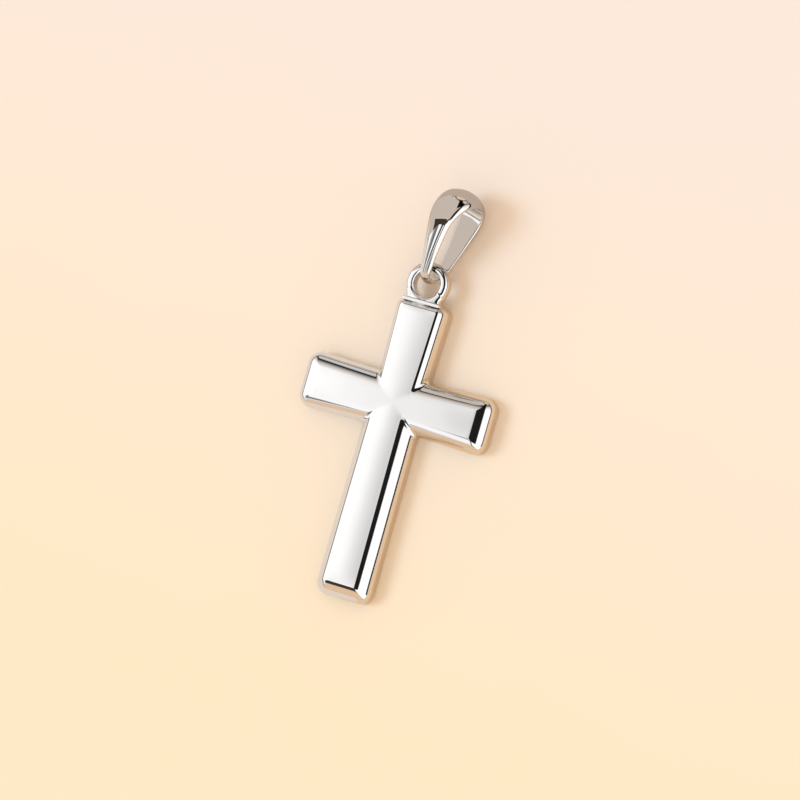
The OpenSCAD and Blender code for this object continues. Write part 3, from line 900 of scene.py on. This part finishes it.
def studio_world(finish):
    """White sheets with a dark gap between them for the metal to reflect, and an even light for the floor."""
    world = bpy.data.worlds.new("studio")
    world.use_nodes = True
    tree = world.node_tree
    tree.nodes.clear()
    x, y, z = parts(tree, add_node(tree, "ShaderNodeTexCoord").outputs["Generated"])
    sideways, lengthways = x.atan2(z), y.arcsin()
    room = mixed(
        tree, 1.0, degree_ramp(tree, sideways, SIDE_STOPS), degree_ramp(tree, lengthways, LENGTH_STOPS),
        "MULTIPLY",
    )
    low = NodeNumber(tree, degree_ramp(tree, lengthways, LOW_LENGTH_STOPS))
    for stops, tone in ((LOW_DARK_STOPS, LOW_TONE), (LOW_LIGHT_STOPS, WHITE)):
        room = mixed(tree, low * NodeNumber(tree, degree_ramp(tree, sideways, stops)), room, tone)
    room = mixed(tree, degree_ramp(tree, lengthways, GROUND_STOPS), room, GROUND_TONE)

    lights = ((room, finish.sheet_light), (FILL_TONE, finish.fill_light), (CAMERA_WORLD, 1.0))
    studio, fill, pale = (
        add_node(tree, "ShaderNodeBackground", Color=tone, Strength=strength).outputs[0]
        for tone, strength in lights
    )
    paths = add_node(tree, "ShaderNodeLightPath").outputs
    shown = fill
    for kind, other in (("Is Glossy Ray", studio), ("Is Camera Ray", pale)):
        mix = tree.nodes.new("ShaderNodeMixShader")
        for slot, value in zip(mix.inputs, (paths[kind], shown, other)):
            plug(tree, value, slot)
        shown = mix.outputs[0]
    add_node(tree, "ShaderNodeOutputWorld", Surface=shown)
    return world


# Half the floor's width, and how far from its middle its shown tones and its mirrored tones (painted
# reflection and painted shade) have fully taken over
FLOOR_HALF = 1.2
TONE_REACH = 0.02
PAINTED_SHADE_REACH = 2 * MM
# Its roughness, the drift of its tones and the grain of its face
FLOOR_ROUGH = 0.75
DRIFT_SCALE, DRIFT_DETAIL, DRIFT_REACH = 60.0, 2.0, 0.01
GRAIN_SCALE, GRAIN_DETAIL, GRAIN_STRENGTH, GRAIN_HEIGHT = 2500.0, 3.0, 0.08, 0.1 * MM

# The curved board over the bail, a glowing painted reflection: where it starts and ends along the pendant,
# its radius, turns and steps, and the end, radius and turns of its dark edge
BOARD_FROM = 8.8 * MM
BOARD_TO = 22 * MM
BOARD_R = 5 * MM
BOARD_TURNS = (radians(-86), radians(12))
BOARD_STEPS = 24
EDGE_TO = 10.6 * MM
EDGE_R = 4.9 * MM
EDGE_TURNS = (radians(-52), radians(12))

# The dark board before the foot, a painted dark reflection edge on to the arms: its near and far edges past
# the foot, its heights there and its two ends
FLAG_NEAR, FLAG_FAR = 0.9 * MM, 7 * MM
FLAG_LOW, FLAG_HIGH = 3.2 * MM, 4.06 * MM
FLAG_LEFT, FLAG_RIGHT = -4.6 * MM, 0.8 * MM


def mirrored_board(name, tone, points, faces):
    """A glowing board that nothing but the polished metal sees: a painted reflection, which lights nothing
    and casts no shadow.
    """
    material, tree = new_material(name)
    tree.nodes.clear()
    glow = add_node(tree, "ShaderNodeEmission", Color=tone, Strength=1.0)
    add_node(tree, "ShaderNodeOutputMaterial", Surface=glow.outputs[0])
    board = new_body(name, points, faces, material)
    for kind in ("camera", "diffuse", "shadow", "transmission", "volume_scatter"):
        setattr(board, "visible_" + kind, False)
    return board


def curved_board(name, tone, radius, turns, end):
    """A board that curves over the bail from its left, as a painted reflection."""
    middle = (bail_low.x + bail_high.x) / 2
    points = [
        (middle + radius * sin(a), y, bail_high.z / 2 + radius * cos(a))
        for a in np.linspace(*turns, BOARD_STEPS + 1) for y in (BOARD_FROM, end)
    ]
    faces = [(2 * i, 2 * i + 1, 2 * i + 3, 2 * i + 2) for i in range(BOARD_STEPS)]
    return mirrored_board(name, tone, points, faces)


def painted_dark_board(finish):
    """The dark board that hangs before the foot, as a painted dark reflection."""
    edges = ((cross_low.y - FLAG_NEAR, FLAG_LOW), (cross_low.y - FLAG_FAR, FLAG_HIGH))
    points = [(x, y, z) for y, z in edges for x in (FLAG_LEFT, FLAG_RIGHT)]
    return mirrored_board("dark board", finish.flag, points, [(0, 1, 3, 2)])


def pale_floor(finish):
    """A large pale surface, pinkish beyond the bail and yellower before the foot. In the metal's reflections
    it shows painted tones instead: paler at the left, and painted shade, tan at the right and darker beyond
    the loop.
    """
    material, tree = new_material("pale paper")
    place = add_node(tree, "ShaderNodeTexCoord").outputs["Object"]
    across, along = parts(tree, place)[:2]
    drift = NodeNumber(tree, noise(tree, place, DRIFT_SCALE, DRIFT_DETAIL))
    drifted = along + (drift - 0.5) * DRIFT_REACH
    beyond = (drifted / (2 * TONE_REACH) + 0.5).clamped()
    shown = mixed(tree, beyond, finish.floor_near, finish.floor_far)
    # Painted reflection and painted shade: floor tones that only the metal's reflections see, paler at the
    # left, tan at the right and darker past the loop
    painted_shade_rightwards = (across / (2 * PAINTED_SHADE_REACH) + 0.5).clamped()
    sides = mixed(tree, painted_shade_rightwards, finish.painted_reflection_left, finish.painted_shade_right)
    painted_shade_past_loop = ((along - BOARD_FROM) / PAINTED_SHADE_REACH).clamped()
    mirrored = mixed(tree, painted_shade_past_loop, sides, finish.painted_shade_beyond)
    glossy = add_node(tree, "ShaderNodeLightPath").outputs["Is Glossy Ray"]
    grain = noise(tree, place, GRAIN_SCALE, GRAIN_DETAIL)
    bump = add_node(tree, "ShaderNodeBump", Height=grain, Strength=GRAIN_STRENGTH, Distance=GRAIN_HEIGHT)
    set_inputs(
        tree, tree.nodes["Principled BSDF"], Base_Color=mixed(tree, glossy, shown, mirrored),
        Roughness=FLOOR_ROUGH, Normal=bump.outputs[0],
    )
    corners = [(x * FLOOR_HALF, y * FLOOR_HALF, 0.0) for x, y in ((-1, -1), (1, -1), (1, 1), (-1, 1))]
    return new_body("floor", corners, [(0, 1, 2, 3)], material)


# The camera: from the object towards it, its roll, its distance, lens and reach, and where it aims
VIEW = Vector((0.313, 0.001, 0.9497))
VIEW_ROLL = radians(15.952)
DISTANCE = 218 * MM
LENS, SENSOR = 153.04, 36
CLIP_START, CLIP_END = 0.002, 10
AIM_HEIGHT = 1.0 * MM
AIM_RIGHT, AIM_UP = 0.24 * MM, 0.158 * MM

# The soft key light: from the left and above, with the width of its disc
KEY_FROM = Vector((-0.62, -0.12, 0.78))
KEY_WIDTH = radians(24)
KEY_TONE = (0.45, 0.72, 1.0)


def aim_camera(lie):
    """A long lens at the photograph's angle to the lying pendant."""
    view = VIEW.normalized()
    level = Vector((0.0, 1.0, 0.0)).cross(view).normalized()
    upright = view.cross(level)
    right = level * cos(VIEW_ROLL) + upright * sin(VIEW_ROLL)
    up = upright * cos(VIEW_ROLL) - level * sin(VIEW_ROLL)
    target = Vector((0.0, lie.crossing_y, AIM_HEIGHT)) + right * AIM_RIGHT + up * AIM_UP
    camera = new_object("camera", bpy.data.cameras.new("camera"))
    turned = Matrix((right, up, view)).transposed().to_4x4()
    camera.matrix_world = Matrix.Translation(target + view * DISTANCE) @ turned
    camera.data.lens = LENS
    camera.data.sensor_width = SENSOR
    camera.data.clip_start = CLIP_START
    camera.data.clip_end = CLIP_END
    bpy.context.scene.camera = camera


def key_light(finish):
    """A broad soft light that the metal doesn't mirror, for the soft shadow at the right."""
    sun = bpy.data.lights.new("key light", "SUN")
    sun.energy = finish.sun_light
    sun.angle = KEY_WIDTH
    sun.color = KEY_TONE
    lamp = new_object("key light", sun)
    lamp.rotation_euler = KEY_FROM.to_track_quat("Z", "Y").to_euler()
    lamp.visible_glossy = False


class PENDANT_OT_stage(bpy.types.Operator):
    """Sets up the pale floor, the soft studio light and the camera"""

    bl_idname = "pendant.stage"
    bl_label = "Stage"

    def execute(self, context):
        scene = context.scene
        finish = scene.pendant_finish
        pale_floor(finish)
        curved_board("curved board", finish.board, BOARD_R, BOARD_TURNS, BOARD_TO)
        curved_board("board's dark edge", finish.flag, EDGE_R, EDGE_TURNS, EDGE_TO)
        painted_dark_board(finish)
        scene.world = studio_world(finish)
        key_light(finish)
        aim_camera(PendantLie(scene.pendant_cross, scene.pendant_bail))
        scene.view_settings.view_transform = "Standard"
        return {"FINISHED"}


class PENDANT_PT_panel(bpy.types.Panel):
    """The pendant's sizes and the buttons that build it"""

    bl_label = "Cross Pendant"
    bl_idname = "PENDANT_PT_panel"
    bl_space_type = "VIEW_3D"
    bl_region_type = "UI"
    bl_category = "Pendant"

    def draw(self, context):
        for operator in (PENDANT_OT_cross, PENDANT_OT_bail, PENDANT_OT_stage):
            self.layout.operator(operator.bl_idname)
        for group in (getattr(context.scene, name) for name in GROUPS):
            box = self.layout.box()
            for name in group.bl_rna.properties.keys():
                if name not in ("rna_type", "name"):
                    box.prop(group, name)


GROUPS = {"pendant_cross": PendantCross, "pendant_bail": PendantBail, "pendant_finish": PendantFinish}
CLASSES = (*GROUPS.values(), PENDANT_OT_cross, PENDANT_OT_bail, PENDANT_OT_stage, PENDANT_PT_panel)


def register():
    for cls in CLASSES:
        bpy.utils.register_class(cls)
    for name, group in GROUPS.items():
        setattr(bpy.types.Scene, name, PointerProperty(type=group))


def unregister():
    for name in GROUPS:
        delattr(bpy.types.Scene, name)
    for cls in reversed(CLASSES):
        bpy.utils.unregister_class(cls)


def main():
    register()
    bpy.ops.pendant.stage()
    bpy.ops.pendant.cross()
    bpy.ops.pendant.bail()
    bpy.context.view_layer.update()


if __name__ == "__main__":
    main()
